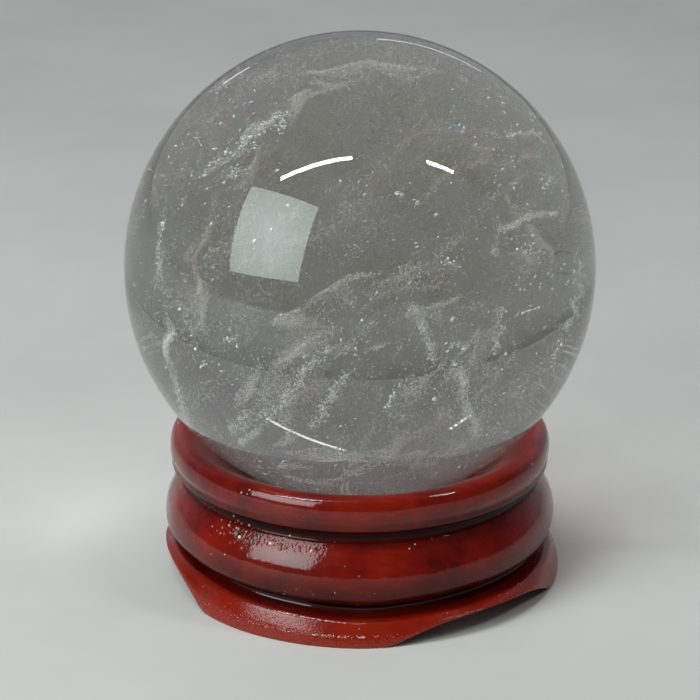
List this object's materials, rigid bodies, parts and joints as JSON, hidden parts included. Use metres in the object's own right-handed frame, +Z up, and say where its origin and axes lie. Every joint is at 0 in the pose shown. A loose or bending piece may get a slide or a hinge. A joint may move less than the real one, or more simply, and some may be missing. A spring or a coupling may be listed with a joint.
{
  "type": "crystal ball",
  "caption": "Polished clear rock crystal ball that rests, free to lift off and turn, in the dished rim of a turned, red-lacquered wooden ring stand cut into low feet.",
  "frame": {"origin": "middle of the stand, on the surface that its feet rest on", "axes": "+Z up along the axis of the turned ring, through the middle of the ball; -Y towards the front"},
  "size_m": [0.04, 0.04, 0.0473],
  "materials": {
    "rock_crystal": "polished",
    "lacquered_wood": "gloss"
  },
  "bodies": {
    "stand": {"ring_stand": "lacquered_wood"},
    "ball": {"crystal_ball": "rock_crystal"}
  },
  "joints": [
    {"name": "ball_lift", "type": "slide", "parent": "stand", "child": "ball", "axis": [0, 0, 1], "range_m": [0, 0.025]}
  ]
}
